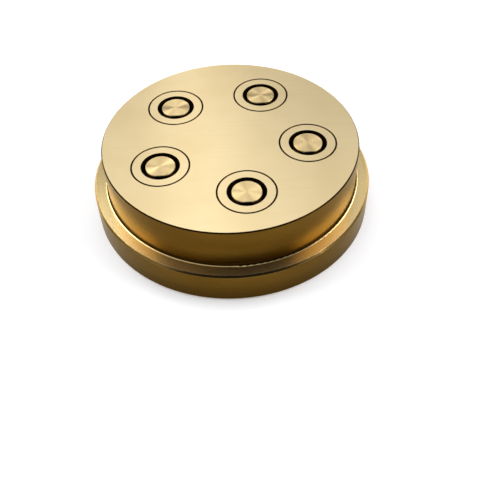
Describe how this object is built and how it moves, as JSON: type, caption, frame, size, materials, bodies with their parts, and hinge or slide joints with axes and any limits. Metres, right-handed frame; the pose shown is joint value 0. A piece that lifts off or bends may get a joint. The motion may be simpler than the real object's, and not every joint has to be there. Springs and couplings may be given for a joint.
{
  "type": "pasta extrusion die",
  "caption": "Round brass pasta die with a clamping flange, a raised outlet face and a ring of inserts whose core pins leave ring-shaped gaps that extrude short bent tubes.",
  "frame": {"origin": "middle of the back face, on the die's axis", "axes": "+Z along the flow, from the back face to the outlet face; -Y is the side that the flats on the core pins face"},
  "size_m": [0.0784, 0.0784, 0.0214],
  "materials": {
    "body_brass": "turned, with a satin ground outlet face and darker sides",
    "sleeve_brass": "satin, ground flush with the outlet face",
    "pin_brass": "turned, with fine rings on the end of the head"
  },
  "bodies": {
    "root": {"die_body": "body_brass", "insert_sleeve_1": "sleeve_brass", "insert_sleeve_2": "sleeve_brass", "insert_sleeve_3": "sleeve_brass", "insert_sleeve_4": "sleeve_brass", "insert_sleeve_5": "sleeve_brass", "core_pin_1": "pin_brass", "core_pin_2": "pin_brass", "core_pin_3": "pin_brass", "core_pin_4": "pin_brass", "core_pin_5": "pin_brass"}
  },
  "joints": []
}
